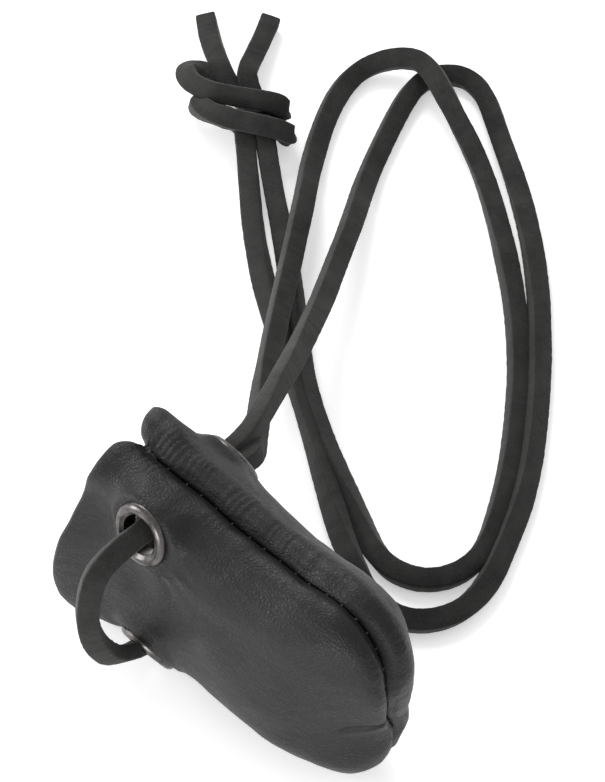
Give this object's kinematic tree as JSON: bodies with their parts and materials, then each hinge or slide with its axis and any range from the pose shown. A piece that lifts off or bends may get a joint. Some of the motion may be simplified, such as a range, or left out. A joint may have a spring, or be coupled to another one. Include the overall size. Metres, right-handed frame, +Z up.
{
  "type": "drawstring dice bag",
  "caption": "Small black leather pouch of two sewn panels with metal eyelets and a long knotted leather drawstring that slides through them to gather the mouth.",
  "frame": {"origin": "centre of the bag's footprint on the surface that it lies on", "axes": "+X from the mouth to the bottom of the bag, +Y from the front panel to the back panel, +Z up from the surface; the bag lies on one side seam"},
  "size_m": [0.1733, 0.1727, 0.0467],
  "materials": {
    "leather": "soft grained black leather",
    "lace": "matt nubuck lace",
    "thread": "waxed black thread",
    "eyelet": "dark antique nickel"
  },
  "bodies": {
    "bag": {"front_panel": "leather", "back_panel": "leather", "seam_thread": "thread", "front_upper_eyelet": "eyelet", "front_lower_eyelet": "eyelet", "back_eyelet": "eyelet", "front_upper_washer": "eyelet", "front_lower_washer": "eyelet", "back_washer": "eyelet"},
    "drawstring": {"drawstring_bight": "lace", "drawstring_strand_1": "lace", "drawstring_strand_2": "lace", "drawstring_knot": "lace", "drawstring_tail_1": "lace", "drawstring_tail_2": "lace"}
  },
  "joints": [
    {"name": "drawstring_pull", "type": "slide", "parent": "bag", "child": "drawstring", "axis": [0, 1, 0], "range_m": [0, 0.008]}
  ]
}
